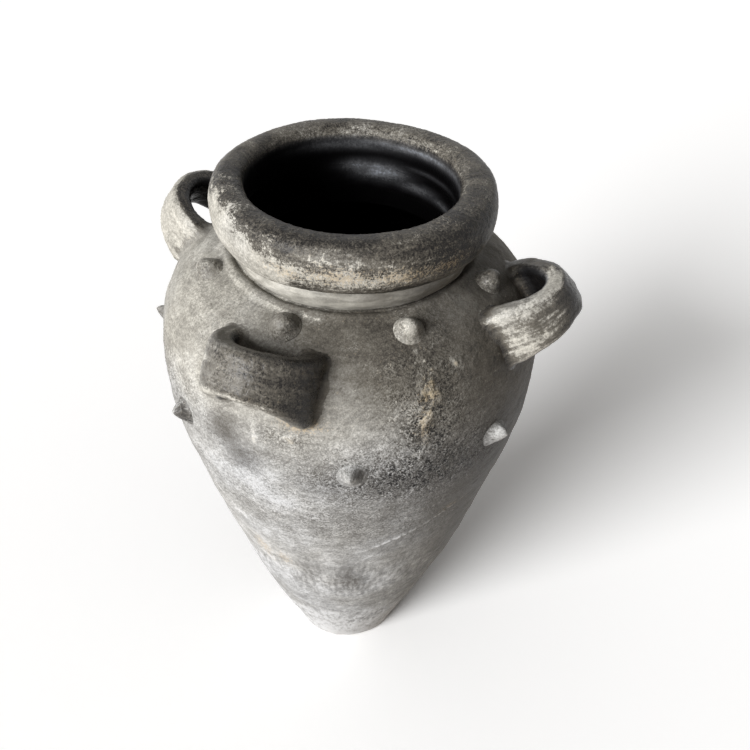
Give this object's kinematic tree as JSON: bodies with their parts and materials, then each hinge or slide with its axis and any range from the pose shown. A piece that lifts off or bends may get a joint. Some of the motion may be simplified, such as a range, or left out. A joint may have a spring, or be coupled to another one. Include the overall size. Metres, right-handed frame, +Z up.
{
  "type": "pithos",
  "caption": "Tall tapered storage jar of dark fired clay with a rolled rim, sideways strap handles on the shoulder and circles of applied knobs.",
  "frame": {"origin": "centre of the foot, on the surface that the jar stands on", "axes": "+Z up along the jar's axis; the strap handles stand on +X, +Y, -X and -Y, and -Y is the front"},
  "size_m": [0.5691, 0.5704, 0.8],
  "materials": {
    "wall_clay": "matte",
    "neck_clay": "satin",
    "rim_clay": "matte",
    "handle_clay": "matte",
    "knob_clay": "matte"
  },
  "bodies": {
    "root": {"base_disc": "wall_clay", "lower_wall": "wall_clay", "flank_wall": "wall_clay", "belly_wall": "wall_clay", "shoulder_wall": "wall_clay", "neck_band": "neck_clay", "rim_roll": "rim_clay", "handle_right": "handle_clay", "handle_back": "handle_clay", "handle_left": "handle_clay", "handle_front": "handle_clay", "shoulder_knob_1": "knob_clay", "shoulder_knob_2": "knob_clay", "shoulder_knob_3": "knob_clay", "shoulder_knob_4": "knob_clay", "shoulder_knob_5": "knob_clay", "shoulder_knob_6": "knob_clay", "shoulder_knob_7": "knob_clay", "shoulder_knob_8": "knob_clay", "belly_knob_1": "knob_clay", "belly_knob_2": "knob_clay", "belly_knob_3": "knob_clay", "belly_knob_4": "knob_clay", "belly_knob_5": "knob_clay", "belly_knob_6": "knob_clay", "belly_knob_7": "knob_clay", "belly_knob_8": "knob_clay"}
  },
  "joints": []
}
